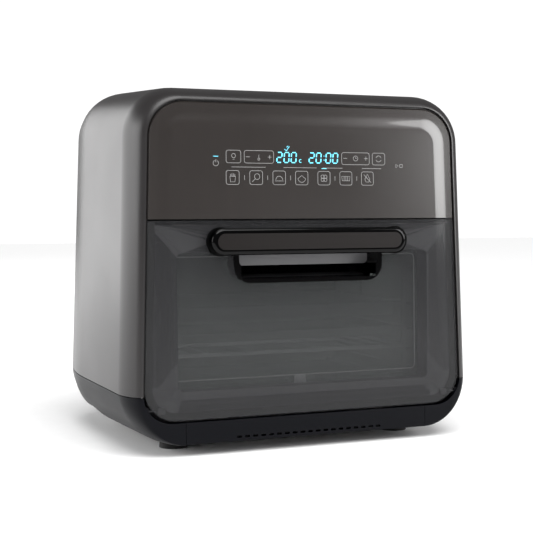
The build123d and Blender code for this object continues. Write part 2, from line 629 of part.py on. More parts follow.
with BuildPart() as cooling_fan:
    cylinder_up(0, FAN_Y, (MOTOR_HIGH + 4, MOTOR_HIGH + 18), 9)
    cylinder_up(0, FAN_Y, (MOTOR_HIGH + 5, MOTOR_HIGH + 6.2), 44)
    with Locations((0, FAN_Y, MOTOR_HIGH + 11)):
        with PolarLocations(25, 9):
            Box(36, 1.4, 11)
    cylinder_up(0, FAN_Y, (MOTOR_HIGH, MOTOR_HIGH + 30), SHAFT_RADIUS, Mode.SUBTRACT)
save("cooling_fan", cooling_fan.part)

with BuildPart() as thermal_fuse:
    block((-52, -34), (FAN_Y - 60, FAN_Y - 50), (SHROUD_HIGH, SHROUD_HIGH + 7))
save("thermal_fuse", thermal_fuse.part)

with BuildPart() as temperature_probe:
    cylinder_up(-112, CAVITY_REAR - 30, (CAVITY_HIGH - 16, CAVITY_HIGH), 2.5)
    cylinder_up(-112, CAVITY_REAR - 30, (CAVITY_HIGH - 1.5, CAVITY_HIGH), 6)
save("temperature_probe", temperature_probe.part)

BOARD_Z = 262.0
with BuildPart() as power_board:
    block((-158, -92), (FRONT_Y + 168, FRONT_Y + 236), (BOARD_Z, BOARD_Z + 1.6))
    block((-150, -122), (FRONT_Y + 178, FRONT_Y + 206), (BOARD_Z + 1.6, BOARD_Z + 22))
    block((-114, -100), (FRONT_Y + 178, FRONT_Y + 194), (BOARD_Z + 1.6, BOARD_Z + 18))
    block((-114, -98), (FRONT_Y + 206, FRONT_Y + 226), (BOARD_Z + 1.6, BOARD_Z + 14))
    for x in (-140, -98):
        for y in (FRONT_Y + 172, FRONT_Y + 232):
            cylinder_up(x, y, (CAVITY_HIGH + SHEET, BOARD_Z), 2.4)
save("power_board", power_board.part)

with BuildPart() as oven_lamp:
    cylinder_along_x((CAVITY_HALF + SHEET, CAVITY_HALF + 24), LAMP_Y, LAMP_Z, 15)
    cylinder_along_x((CAVITY_HALF - 5, CAVITY_HALF + 18), LAMP_Y, LAMP_Z, 12.5, Mode.SUBTRACT)
    cylinder_along_x((CAVITY_HALF + 8, CAVITY_HALF + 20), LAMP_Y, LAMP_Z, 6)
save("oven_lamp", oven_lamp.part)

with BuildPart() as lamp_lens:
    cylinder_along_x((CAVITY_HALF - 2, CAVITY_HALF), LAMP_Y, LAMP_Z, 18)
    cylinder_along_x((CAVITY_HALF, CAVITY_HALF + SHEET), LAMP_Y, LAMP_Z, 12.3)
save("lamp_lens", lamp_lens.part)

with BuildPart() as drive_coupler:
    cylinder_along_x((CAVITY_HALF - 5, CAVITY_HALF + 14), SPIT_Y, SPIT_Z, COUPLER_RADIUS)
    block(
        (CAVITY_HALF - 10, CAVITY_HALF + 3), (SPIT_Y - 2.6, SPIT_Y + 2.6), (SPIT_Z - 2.6, SPIT_Z + 2.6), Mode.SUBTRACT
    )
save("drive_coupler", drive_coupler.part)

with BuildPart() as rotisserie_motor:
    cylinder_along_x((CAVITY_HALF + 14.5, CAVITY_HALF + 36), SPIT_Y, SPIT_Z, 22)
    block((CAVITY_HALF + 12.5, CAVITY_HALF + 14.5), (SPIT_Y - 34, SPIT_Y + 34), (SPIT_Z - 12, SPIT_Z + 12))
    for side in (-1, 1):
        cylinder_along_x((CAVITY_HALF + SHEET, CAVITY_HALF + 12.5), SPIT_Y + 28 * side, SPIT_Z, 3)
    cylinder_along_x((CAVITY_HALF + 12, CAVITY_HALF + 14.5), SPIT_Y, SPIT_Z, COUPLER_RADIUS + 1, Mode.SUBTRACT)
save("rotisserie_motor", rotisserie_motor.part)

with BuildPart() as spit_rest:
    block((-CAVITY_HALF, 1.5 - CAVITY_HALF), (SPIT_Y - 9, SPIT_Y + 9), (SPIT_Z - 10, SPIT_Z + 6))
    block((1.5 - CAVITY_HALF, 7 - CAVITY_HALF), (SPIT_Y - 9, SPIT_Y + 9), (SPIT_Z - 10, SPIT_Z - 4))
save("spit_rest", spit_rest.part)

RAIL_REACH = 7.0
RAIL_FRONT = FRONT_Y + 52
RAIL_BACK = CAVITY_REAR - 50
for name, side in (("rack_guide_left", -1), ("rack_guide_right", 1)):
    with BuildPart() as rack_guide:
        for height in RAIL_HEIGHTS:
            rail = sorted((side * CAVITY_HALF, side * (CAVITY_HALF - RAIL_REACH)))
            block(rail, (RAIL_FRONT, RAIL_BACK), (height - 3, height))
        strip = sorted((side * CAVITY_HALF, side * (CAVITY_HALF - 1.5)))
        for y in (RAIL_FRONT + 20, RAIL_BACK - 20):
            block(strip, (y, y + 12), (RAIL_HEIGHTS[0] - 3, RAIL_HEIGHTS[-1]))
    save(name, rack_guide.part)

TRAY_HALF = CAVITY_HALF - 3
TRAY_FRONT = FRONT_Y + 54
TRAY_BACK = CAVITY_REAR - 6


def rimmed_tray(rim, depth, hole_rows):
    """Shallow sheet tray that hangs from its rim; a hole_rows of 0 leaves the bottom whole."""
    well = (2 * (TRAY_HALF - 8), TRAY_BACK - TRAY_FRONT - 16)
    centre = (0, (TRAY_FRONT + TRAY_BACK) / 2)
    with BuildPart() as tray:
        with BuildSketch(Plane.XY.offset(rim)) as lip:
            with Locations(centre):
                RectangleRounded(2 * TRAY_HALF, TRAY_BACK - TRAY_FRONT, 18)
        extrude(lip.sketch, amount=1.2)
        with BuildSketch(Plane.XY.offset(rim - depth)) as outer:
            with Locations(centre):
                RectangleRounded(*well, 14)
        extrude(outer.sketch, amount=depth)
        with BuildSketch(Plane.XY.offset(rim - depth + 1.2)) as inner:
            with Locations(centre):
                RectangleRounded(well[0] - 2.4, well[1] - 2.4, 12.8)
        extrude(inner.sketch, amount=depth + 5, mode=Mode.SUBTRACT)
        if hole_rows:
            with BuildSketch(Plane.XY.offset(rim - depth - 1)) as holes:
                with Locations(centre):
                    with GridLocations(15, 15, 2 * hole_rows - 4, hole_rows):
                        Rectangle(9, 9)
            extrude(holes.sketch, amount=4, mode=Mode.SUBTRACT)
    return tray.part


save("air_fry_basket", rimmed_tray(RAIL_HEIGHTS[3], 13, 11))
save("baking_tray", rimmed_tray(RAIL_HEIGHTS[2], 8, 0))

WIRE = 1.8
with BuildPart() as wire_rack:
    rack_z = RAIL_HEIGHTS[1] + WIRE
    cross = (TRAY_BACK - TRAY_FRONT) / 2 - WIRE
    for y in (-cross, 0, cross):
        with Locations(((0, (TRAY_FRONT + TRAY_BACK) / 2 + y, rack_z))):
            Box(2 * TRAY_HALF, 2 * WIRE, 2 * WIRE)
    for side in (-1, 1):
        with Locations((side * (TRAY_HALF - WIRE), (TRAY_FRONT + TRAY_BACK) / 2, rack_z)):
            Box(2 * WIRE, 2 * cross, 2 * WIRE)
    with Locations((0, (TRAY_FRONT + TRAY_BACK) / 2, rack_z + WIRE)):
        with GridLocations(22, 0, 11, 1):
            Box(2.4, 2 * cross, 2.4)
save("wire_rack", wire_rack.part)

with BuildPart() as crumb_tray:
    block((-131, 131), (FRONT_Y + 48, CAVITY_REAR - 4), (CAVITY_LOW + 0.2, CAVITY_LOW + 1.4))
    block((-131, 131), (FRONT_Y + 48, FRONT_Y + 49.5), (CAVITY_LOW + 1.4, CAVITY_LOW + 9))
    for side in (-1, 1):
        rim = sorted((side * 131, side * 129.8))
        block(rim, (FRONT_Y + 49.5, CAVITY_REAR - 4), (CAVITY_LOW + 1.4, CAVITY_LOW + 5))
save("crumb_tray", crumb_tray.part)

BLANKET = 8.0
with BuildPart() as insulation_left:
    block((-CAVITY_HALF - SHEET - BLANKET, -CAVITY_HALF - SHEET), (FRONT_Y + 48, CAVITY_REAR), (66, 194))
save("insulation_left", insulation_left.part)

with BuildPart() as insulation_right:
    block((CAVITY_HALF + SHEET, CAVITY_HALF + SHEET + BLANKET), (FRONT_Y + 48, CAVITY_REAR), (66, 194))
    cylinder_along_x((CAVITY_HALF, CAVITY_HALF + 20), LAMP_Y, LAMP_Z, 16, Mode.SUBTRACT)
    block((CAVITY_HALF, CAVITY_HALF + 20), (SPIT_Y - 34, SPIT_Y + 34), (SPIT_Z - 12, SPIT_Z + 12), Mode.SUBTRACT)
save("insulation_right", insulation_right.part)

with BuildPart() as insulation_rear:
    block((-130, 130), (CAVITY_REAR + SHEET, CAVITY_REAR + SHEET + BLANKET), (66, 194))
save("insulation_rear", insulation_rear.part)

# ---- screws -------------------------------------------------------------------------------------
with BuildPart() as cover_screws:
    for x in (-126, 126):
        for z in (56, 183, 310):
            place = Plane(REAR.from_local_coords(Vector(x, z, 0)), x_dir=(-1, 0, 0), z_dir=REAR.z_dir)
            with BuildSketch(place.offset(2.5)) as screw_head:
                Circle(3.6)
            extrude(screw_head.sketch, amount=1.4, taper=20)
save("cover_screws", cover_screws.part)
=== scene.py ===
import json
import math

import bmesh
import bpy
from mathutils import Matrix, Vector


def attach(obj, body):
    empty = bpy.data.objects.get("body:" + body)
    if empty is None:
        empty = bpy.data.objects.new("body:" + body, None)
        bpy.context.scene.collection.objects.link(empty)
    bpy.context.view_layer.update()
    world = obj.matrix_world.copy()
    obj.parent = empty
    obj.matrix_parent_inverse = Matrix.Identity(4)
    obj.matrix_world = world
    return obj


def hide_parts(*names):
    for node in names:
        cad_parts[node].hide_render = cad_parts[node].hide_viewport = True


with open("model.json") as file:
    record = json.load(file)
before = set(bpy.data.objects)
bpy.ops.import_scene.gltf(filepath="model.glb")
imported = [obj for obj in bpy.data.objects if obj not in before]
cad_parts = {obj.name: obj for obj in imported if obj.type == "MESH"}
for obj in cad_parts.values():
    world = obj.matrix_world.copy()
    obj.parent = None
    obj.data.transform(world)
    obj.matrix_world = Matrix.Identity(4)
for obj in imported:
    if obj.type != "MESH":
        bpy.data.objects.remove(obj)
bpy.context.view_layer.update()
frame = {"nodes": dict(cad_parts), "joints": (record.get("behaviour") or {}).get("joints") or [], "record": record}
NODES = frame["nodes"]
MM = 0.001

# ---- driving dimensions, in millimetres ---------------------------------------------------------
LEAN = 0.03                 # every wall leans in this much for each millimetre up
HINGE_DEPTH = 3.5           # hinge axis, behind the leaning front
HALF_WIDTH = 190.2          # half the body's width at table level
BODY_DEPTH = 280.0
BEVEL_DEPTH = 29.0          # the rounded front edge runs back this far
BEZEL_POWER = 1.6           # fullness of that edge, 1 being a flat bevel
TAPER_START = 190.0
REAR_FILLET = 44.0
WALL = 2.5
SEAM = 17.0                 # middle of the gap round the front, in from the side walls
GAP = 1.5
DOOR_LOW, MID_SEAM, PANEL_HIGH = 33.9, 226.0, 339.1
BASE_SEAM, SEAM_LINE = 59.4, 0.8
LENS, RIM, RISE, RISE_RUN = 4.0, 8.3, 2.0, 14.0
LENS_BEVEL = 1.3
LENS_LOW_RADIUS, LENS_HIGH_RADIUS = 32, 35
RIM_LOW_RADIUS, RIM_HIGH_RADIUS, MIDDLE_RADIUS = 24, 27, 14
OPENING_LOW_RADIUS, OPENING_HIGH_RADIUS = 29.0, 36.0
CUP_HALF, CUP_LOW, CUP_HIGH = 80.0, 164.6, 214.0
REAR_HALF, REAR_LOW, REAR_HIGH, REAR_RADIUS = 128, 50, 316, 20
TIGHT_CORNER = 0.3
ARC_STEPS = 12
CREASE, SHELL_CREASE = 32, 24       # degrees between two faces that leave a hard edge

hinge = next(j for j in frame["joints"] if j["name"] == "door_hinge")["pos_m"]
FRONT_Y = hinge[1] / MM - LEAN * hinge[2] / MM - HINGE_DEPTH
FACE = 1 / math.hypot(1, LEAN)
UP_FRONT = Vector((0, LEAN, 1)).normalized()


def on_front(x, height, depth):
    """Point on the leaning front, from millimetres across, up and behind it."""
    return Vector((x, FRONT_Y + (LEAN * height + depth) * FACE, (height - LEAN * depth) * FACE)) * MM


def on_section(x, z, depth, lean):
    """Point on a section of the body whose plane leans by lean."""
    return Vector((x, FRONT_Y + depth + lean * z, z)) * MM


def outline(low, high, inset, low_radius, high_radius):
    """Rounded outline following the drafted walls, anticlockwise from the lower right corner."""
    points = []
    corners = ((1, low, low_radius, 1, -90), (1, high, high_radius, -1, 0),
               (-1, high, high_radius, -1, 90), (-1, low, low_radius, 1, 180))
    for side, edge, radius, inward, start in corners:
        z = edge + inward * radius
        x = side * (HALF_WIDTH - LEAN * z - inset - radius)
        for step in range(ARC_STEPS + 1):
            angle = math.radians(start + 90 * step / ARC_STEPS)
            points.append((x + radius * math.cos(angle), z + radius * math.sin(angle)))
    return points


def rectangle(x0, x1, z0, z1, radius):
    """Rounded rectangle with as many points as an outline."""
    points = []
    for x, z, start in ((x1 - radius, z0 + radius, -90), (x1 - radius, z1 - radius, 0),
                        (x0 + radius, z1 - radius, 90), (x0 + radius, z0 + radius, 180)):
        for step in range(ARC_STEPS + 1):
            angle = math.radians(start + 90 * step / ARC_STEPS)
            points.append((x + radius * math.cos(angle), z + radius * math.sin(angle)))
    return points


# ---- mesh helpers -------------------------------------------------------------------------------
def make_object(name, bm, crease=CREASE):
    bmesh.ops.recalc_face_normals(bm, faces=bm.faces)
    mesh = bpy.data.meshes.new(name)
    bm.to_mesh(mesh)
    bm.free()
    mesh.polygons.foreach_set("use_smooth", [True] * len(mesh.polygons))
    mesh.set_sharp_from_angle(angle=math.radians(crease))
    obj = bpy.data.objects.new(name, mesh)
    bpy.context.scene.collection.objects.link(obj)
    return obj


def loft(rings, closed=False):
    """Skin through rings of equal length, capped at both ends unless it closes on itself."""
    bm = bmesh.new()
    rows = [[bm.verts.new(p) for p in ring] for ring in rings]
    count = len(rows[0])
    for index in range(len(rows) if closed else len(rows) - 1):
        a, b = rows[index], rows[(index + 1) % len(rows)]
        for k in range(count):
            m = (k + 1) % count
            bm.faces.new((a[k], a[m], b[m], b[k]))
    if not closed:
        bm.faces.new(rows[0])
        bm.faces.new(rows[-1])
    return bm


def keep_side(bm, point, direction):
    """Cut the skin with a plane, keep the side that direction points to and close the cut."""
    geometry = bm.verts[:] + bm.edges[:] + bm.faces[:]
    bmesh.ops.bisect_plane(bm, geom=geometry, plane_co=point, plane_no=direction, clear_inner=True)
    open_edges = [e for e in bm.edges if e.is_boundary]
    bmesh.ops.holes_fill(bm, edges=open_edges, sides=0)


def prism(section, place, near, far):
    """Solid of an outline between two depths."""
    return loft([[place(x, z, near) for x, z in section], [place(x, z, far) for x, z in section]])


def carve(obj, cutters):
    """Take the cutters away from the object for good."""
    for index, bm in enumerate(cutters):
        tool = make_object(f"cutter_{index}", bm)
        modifier = obj.modifiers.new("carve", "BOOLEAN")
        modifier.operation = "DIFFERENCE"
        modifier.solver = "EXACT"
        modifier.object = tool
        graph = bpy.context.evaluated_depsgraph_get()
        mesh = bpy.data.meshes.new_from_object(obj.evaluated_get(graph))
        obj.modifiers.clear()
        obj.data = mesh
        bpy.data.objects.remove(tool)
    obj.data.polygons.foreach_set("use_smooth", [True] * len(obj.data.polygons))
    obj.data.set_sharp_from_angle(angle=math.radians(CREASE))


# ---- materials ----------------------------------------------------------------------------------
def tone(red, green, blue):
    """Linear colour of a tone given from 0 to 255."""
    return tuple((c / 255) ** 2.2 for c in (red, green, blue)) + (1.0,)


def surface(name, dark, light, rough, grain, bump, metallic=0.0, stretch=(1, 1, 1), coat=0.0,
            alpha=1.0, specular=0.5, wavy=False):
    """Moulded, painted or drawn surface: two close tones, uneven gloss and a bump, fine or wavy."""
    material = bpy.data.materials.new(name)
    material.use_nodes = True
    tree = material.node_tree
    shader = tree.nodes["Principled BSDF"]
    shader.inputs["Metallic"].default_value = metallic
    shader.inputs["Coat Weight"].default_value = coat
    shader.inputs["Coat Roughness"].default_value = 0.05
    shader.inputs["Specular IOR Level"].default_value = specular
    shader.inputs["Alpha"].default_value = alpha

    def node(kind, **values):
        made = tree.nodes.new(kind)
        for key, value in values.items():
            made.inputs[key].default_value = value
        return made

    place = tree.nodes.new("ShaderNodeTexCoord")
    scale = node("ShaderNodeMapping", Scale=stretch)
    fine = node("ShaderNodeTexNoise", Scale=grain, Detail=4.0, Roughness=0.6)
    broad = node("ShaderNodeTexNoise", Scale=9.0, Detail=3.0, Roughness=0.5)
    tree.links.new(place.outputs["Object"], scale.inputs["Vector"])
    tree.links.new(scale.outputs["Vector"], fine.inputs["Vector"])
    tree.links.new(place.outputs["Object"], broad.inputs["Vector"])
    mix = tree.nodes.new("ShaderNodeMix")
    mix.data_type = "RGBA"
    mix.inputs["A"].default_value = dark
    mix.inputs["B"].default_value = light
    tree.links.new(fine.outputs["Fac"], mix.inputs["Factor"])
    tree.links.new(mix.outputs["Result"], shader.inputs["Base Color"])
    spread = node("ShaderNodeMapRange")
    spread.inputs["To Min"].default_value = max(rough * 0.8, 0.02)
    spread.inputs["To Max"].default_value = min(rough * 1.2, 1.0)
    tree.links.new(broad.outputs["Fac"], spread.inputs["Value"])
    tree.links.new(spread.outputs["Result"], shader.inputs["Roughness"])
    relief = node("ShaderNodeBump", Strength=bump, Distance=0.0002)
    tree.links.new((broad if wavy else fine).outputs["Fac"], relief.inputs["Height"])
    tree.links.new(relief.outputs["Normal"], shader.inputs["Normal"])
    return material


def glowing(name, colour, strength):
    """Printed or lit marking, a little uneven like a backlit film; a printed mark given a glow this way carries
    painted light.
    """
    material = surface(name, colour, tuple(c * 0.86 for c in colour[:3]) + (1.0,), 0.4, 900, 0.05)
    shader = material.node_tree.nodes["Principled BSDF"]
    mix = next(n for n in material.node_tree.nodes if n.bl_idname == "ShaderNodeMix")
    material.node_tree.links.new(mix.outputs["Result"], shader.inputs["Emission Color"])
    shader.inputs["Emission Strength"].default_value = strength
    return material


BRUSHED = (1, 1, 0.02)
FINISH = {
    "housing_plastic": surface("housing_plastic", tone(34, 32, 33), tone(42, 40, 40), 0.34, 2600,
                               0.15),
    "base_plastic": surface("base_plastic", tone(8, 9, 14), tone(14, 15, 20), 0.36, 2600, 0.2,
                            specular=0.12),
    "rubber": surface("rubber", tone(20, 20, 20), tone(30, 30, 30), 0.8, 1500, 0.4),
    "dark_steel": surface("dark_steel", tone(38, 38, 40), tone(52, 52, 54), 0.45, 1800, 0.3, 0.3),
    "smoked_panel": surface("smoked_panel", tone(38, 35, 34), tone(50, 46, 44), 0.22, 900, 0.04,
                            stretch=BRUSHED, coat=0.5),
    "smoked_lens": surface("smoked_lens", tone(50, 50, 52), tone(55, 55, 56), 0.16, 3000, 0.4,
                           alpha=0.42, specular=0.3, wavy=True),
    "inner_glass": surface("inner_glass", tone(138, 148, 144), tone(150, 158, 154), 0.05, 3000, 0.3,
                           alpha=0.36, wavy=True),
    "black_gloss": surface("black_gloss", tone(3, 3, 4), tone(6, 6, 7), 0.1, 500, 0.3, coat=0.1,
                           specular=0.14, wavy=True),
    "inlay": surface("inlay", tone(24, 21, 20), tone(31, 28, 27), 0.4, 2200, 0.15, specular=0.18),
    "frame_plastic": surface("frame_plastic", tone(80, 80, 82), tone(88, 88, 90), 0.55, 5000, 0.04),
    "galvanised": surface("galvanised", tone(150, 152, 154), tone(190, 192, 193), 0.38, 160, 0.1, 0.9),
    "liner_enamel": surface("liner_enamel", tone(96, 98, 99), tone(126, 128, 128), 0.35, 700, 0.15),
    "chrome_wire": surface("chrome_wire", tone(205, 205, 207), tone(228, 228, 230), 0.12, 600,
                           0.03, 1.0),
    "heater": surface("heater", tone(60, 56, 54), tone(92, 84, 80), 0.5, 900, 0.4, 0.7),
    "aluminium": surface("aluminium", tone(170, 172, 174), tone(198, 199, 200), 0.35, 700, 0.1, 0.9),
    "wool": surface("wool", tone(196, 186, 160), tone(226, 218, 196), 0.95, 260, 1.0),
    "silicone": surface("silicone", tone(46, 46, 48), tone(60, 60, 62), 0.6, 900, 0.2),
    "circuit": surface("circuit", tone(18, 74, 44), tone(26, 96, 58), 0.4, 500, 0.2),
    "screw_steel": surface("screw_steel", tone(140, 141, 143), tone(170, 171, 172), 0.3, 1200, 0.1,
                           1.0),
    "lamp_glass": surface("lamp_glass", tone(210, 208, 198), tone(232, 230, 222), 0.15, 300, 0.05,
                          alpha=0.5),
}
DISPLAY_GLOW = glowing("display_glow", tone(110, 215, 240), 1.2)
DARK_PIN = surface("dark_pin", tone(28, 28, 30), tone(36, 36, 38), 0.4, 1500, 0.1, metallic=0.6)
# white print with a faint emission, a painted glow, though no lamp lights it
PRINT_WHITE_PAINTED_GLOW = glowing("print_white_painted_glow", tone(170, 170, 170), 0.25)


def finish(obj, slot, body, *replaced):
    """Give a piece its finish and body, and say which CAD nodes it stands for."""
    obj.data.materials.clear()
    obj.data.materials.append(FINISH[slot])
    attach(obj, body)
    if replaced:
        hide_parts(*replaced)
    return obj


for row in frame["record"]["subparts"]:
    cad = NODES[row["node"]]
    if not cad.material_slots:
        cad.data.materials.append(None)
    for entry in cad.material_slots:
        entry.material = DARK_PIN if row["node"] == "hinge_pins" else FINISH[row["material_slot"]]


# ---- camera, floor and light --------------------------------------------------------------------
CAMERA_PLACE = (-0.5095, -1.2313, 0.2422)
CAMERA_PITCH, CAMERA_YAW, FOCAL_LENGTH = 87, -22.917, 82.65
camera = bpy.data.objects.new("camera", bpy.data.cameras.new("camera"))
camera.location = CAMERA_PLACE
camera.rotation_euler = (math.radians(CAMERA_PITCH), 0, math.radians(CAMERA_YAW))
camera.data.lens = FOCAL_LENGTH
bpy.context.scene.collection.objects.link(camera)
bpy.context.scene.camera = camera

FLOOR_HALF = 6.0
bm = bmesh.new()
bmesh.ops.create_grid(bm, x_segments=8, y_segments=8, size=FLOOR_HALF)
floor = make_object("floor", bm)
paper = surface("floor_paper", tone(244, 244, 244), tone(250, 250, 250), 0.9, 60, 0.02)
floor.data.materials.append(paper)


def softbox(name, place, target, width, height, power):
    """Rectangular lamp that faces its target, in metres and watts."""
    light = bpy.data.lights.new(name, "AREA")
    light.shape = "RECTANGLE"
    light.size, light.size_y, light.energy = width, height, power
    lamp = bpy.data.objects.new(name, light)
    lamp.location = place
    lamp.rotation_euler = (Vector(target) - Vector(place)).to_track_quat("-Z", "Y").to_euler()
    bpy.context.scene.collection.objects.link(lamp)


MIDDLE = (0, 0, 0.18)
softbox("rear_left_softbox", (-1.9, 2.1, 0.8), MIDDLE, 3.2, 2.0, 62)
softbox("left_softbox", (-2.6, 0.1, 0.9), MIDDLE, 1.6, 1.4, 34)
softbox("right_softbox", (1.95, -1.75, 1.0), MIDDLE, 1.3, 1.5, 52)
SKY_POWER, SKY_SPREAD, SKY_TILT = 3.1, 50, 30
sky = bpy.data.lights.new("front_sky", "SUN")
sky.energy, sky.angle = SKY_POWER, math.radians(SKY_SPREAD)
sky_lamp = bpy.data.objects.new("front_sky", sky)
sky_lamp.rotation_euler = (math.radians(SKY_TILT), 0, 0)
bpy.context.scene.collection.objects.link(sky_lamp)
world = bpy.data.worlds.new("studio")
world.use_nodes = True
BACKDROP, FILL = 1.1, 0.2
backdrop = world.node_tree.nodes["Background"]
backdrop.inputs["Color"].default_value = (1, 1, 1, 1)
# the white backdrop is brighter than the fill light that it stands behind
seen = world.node_tree.nodes.new("ShaderNodeLightPath")
level = world.node_tree.nodes.new("ShaderNodeMapRange")
level.inputs["To Min"].default_value = FILL
level.inputs["To Max"].default_value = BACKDROP
world.node_tree.links.new(seen.outputs["Is Camera Ray"], level.inputs["Value"])
world.node_tree.links.new(level.outputs["Result"], backdrop.inputs["Strength"])
bpy.context.scene.world = world
bpy.context.scene.view_settings.view_transform = "Standard"


# ---- smoked front panels ------------------------------------------------------------------------
def front_lens():
    """Whole smoked front, with a soft raised middle."""
    low, high, inset = DOOR_LOW + GAP / 2, PANEL_HIGH - GAP / 2, SEAM + GAP / 2

    def ring(inward, depth, low_radius, high_radius):
        section = outline(low + inward, high - inward, inset + inward, low_radius, high_radius)
        return [on_front(x, z, depth) for x, z in section]

    rings = [ring(0, LENS, LENS_LOW_RADIUS, LENS_HIGH_RADIUS),
             ring(0, LENS_BEVEL, LENS_LOW_RADIUS, LENS_HIGH_RADIUS),
             ring(LENS_BEVEL, 0, LENS_LOW_RADIUS - LENS_BEVEL, LENS_HIGH_RADIUS - LENS_BEVEL),
             ring(RIM, 0, RIM_LOW_RADIUS, RIM_HIGH_RADIUS)]
    slope_steps = 12
    for step in range(1, slope_steps + 1):
        t = step / slope_steps
        depth = -RISE * t * t * (3 - 2 * t)
        rings.append(ring(RIM + RISE_RUN * t, depth, RIM_LOW_RADIUS - (RIM_LOW_RADIUS - MIDDLE_RADIUS) * t,
                          RIM_HIGH_RADIUS - (RIM_HIGH_RADIUS - MIDDLE_RADIUS) * t))
    return loft(rings)


bm = front_lens()
keep_side(bm, on_front(0, MID_SEAM + GAP / 2, 0), UP_FRONT)
finish(make_object("control_panel_face", bm), "smoked_panel", "body", "control_panel_lens")

bm = front_lens()
keep_side(bm, on_front(0, MID_SEAM - GAP / 2, 0), -UP_FRONT)
door_face = make_object("door_face", bm)
CUP_LIP, CUP_HOLE_RADIUS, CUP_CUT = 2, 15, 10
cup_hole = rectangle(CUP_LIP - CUP_HALF, CUP_HALF - CUP_LIP, CUP_LOW + CUP_LIP, CUP_HIGH - CUP_LIP,
                     CUP_HOLE_RADIUS)
cutters = [prism(cup_hole, on_front, -CUP_CUT, CUP_CUT)]
LUG_INNER, LUG_OUTER, LUG_HALF, LUG_CORNER = 149.8, 175.0, 3.3, 0.2
LUG_FRONT, LUG_BACK = 1.7, 6
for side in (-1, 1):
    ends = sorted((side * LUG_INNER, side * LUG_OUTER))
    height = hinge[2] / MM
    pocket = rectangle(*ends, height - LUG_HALF, height + LUG_HALF, LUG_CORNER)
    cutters.append(prism(pocket, on_front, LUG_FRONT, LUG_BACK))
carve(door_face, cutters)
finish(door_face, "smoked_lens", "door", "door_outer_lens")


def rim_mask():
    """Opaque printed border just inside the back of the smoked front."""
    near, far, start = LENS - 0.5, LENS - 0.1, 0.8
    rings = []
    for inward, depth in ((start, near), (RIM, near), (RIM, far), (start, far)):
        base_inset = SEAM + GAP / 2 + inward
        section = outline(DOOR_LOW + GAP / 2 + inward, PANEL_HIGH - GAP / 2 - inward, base_inset,
                          LENS_LOW_RADIUS - inward, LENS_HIGH_RADIUS - inward)
        rings.append([on_front(x, z, depth) for x, z in section])
    return loft(rings, closed=True)


MASK_SETBACK = 0.6
bm = rim_mask()
keep_side(bm, on_front(0, MID_SEAM - GAP / 2 - MASK_SETBACK, 0), -UP_FRONT)
mask = make_object("door_rim_mask", bm)
mask.data.materials.append(surface("mask_ink", tone(10, 10, 11), tone(14, 14, 15), 0.6, 900, 0.05))
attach(mask, "door")

POCKET_BACK_DEPTH, POCKET_BACK_THICK, POCKET_BACK_RADIUS = 20.2, 0.6, 4.8
POCKET_SIDE, POCKET_FLOOR, POCKET_ROOF = 5, 16.6, 4.2       # in from the cup's edges
pocket_back = rectangle(POCKET_SIDE - CUP_HALF, CUP_HALF - POCKET_SIDE, CUP_LOW + POCKET_FLOOR,
                        CUP_HIGH - POCKET_ROOF, POCKET_BACK_RADIUS)
bm = prism(pocket_back, on_front, POCKET_BACK_DEPTH, POCKET_BACK_DEPTH - POCKET_BACK_THICK)
strip = make_object("pocket_back", bm)
# grey back wall of the pocket, lightened past its own tone with painted light so that it shows as a bright band
# inside the shaded pocket
satin = surface("pocket_grey_with_painted_light", tone(112, 112, 114), tone(120, 120, 122), 0.4, 2200, 0.1)
strip.data.materials.append(satin)
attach(strip, "door")

# ---- housing and base ---------------------------------------------------------------------------
def blend_sections(a, b, t):
    """Section part way from one to another."""
    return tuple(u + (v - u) * t for u, v in zip(a, b))


def bezel(share):
    """How much of the way in the rounded front edge still is, from 1 at the front to 0."""
    return 1 - (1 - (1 - share) ** BEZEL_POWER) ** (1 / BEZEL_POWER)


def body_stations():
    """Depth, inset, low, high, corner radii and lean of each section, with softened bends."""
    front = (0, SEAM - 1.4, 12, PANEL_HIGH + 1.4, 44, 37, LEAN)
    bevel = (BEVEL_DEPTH, 0, 10, 353, 56, 49, LEAN)
    taper = (TAPER_START, 0, 10, 359, 46, 44, 0)
    rear = (BODY_DEPTH, 14, 20, 349, 46, 44, -LEAN)
    stations = []
    bezel_steps = 12
    for step in range(bezel_steps + 1):
        share = (step / bezel_steps) ** 1.5
        rounded = blend_sections(bevel, front, bezel(share))
        stations.append((BEVEL_DEPTH * share,) + rounded[1:])
    soften_front, soften_rear, bend_steps = 0.14, 0.25, 6
    start = blend_sections(taper, bevel, soften_front)
    end = blend_sections(taper, rear, soften_rear)
    for step in range(bend_steps + 1):
        t = step / bend_steps
        stations.append(blend_sections(blend_sections(start, taper, t), blend_sections(taper, end, t), t))
    fillet_steps, last_angle = 12, 80
    for step in range(fillet_steps + 1):
        angle = math.radians(last_angle * step / fillet_steps)
        depth = BODY_DEPTH - REAR_FILLET * (1 - math.sin(angle))
        shrink = REAR_FILLET * (1 - math.cos(angle))
        share = (depth - TAPER_START) / (BODY_DEPTH - TAPER_START)
        base = blend_sections(taper, rear, share)
        inset, low, high, low_radius, high_radius, lean = base[1:]
        stations.append((depth, inset + shrink, low + shrink, high - shrink, low_radius - shrink,
                         high_radius - shrink, lean))
    return stations


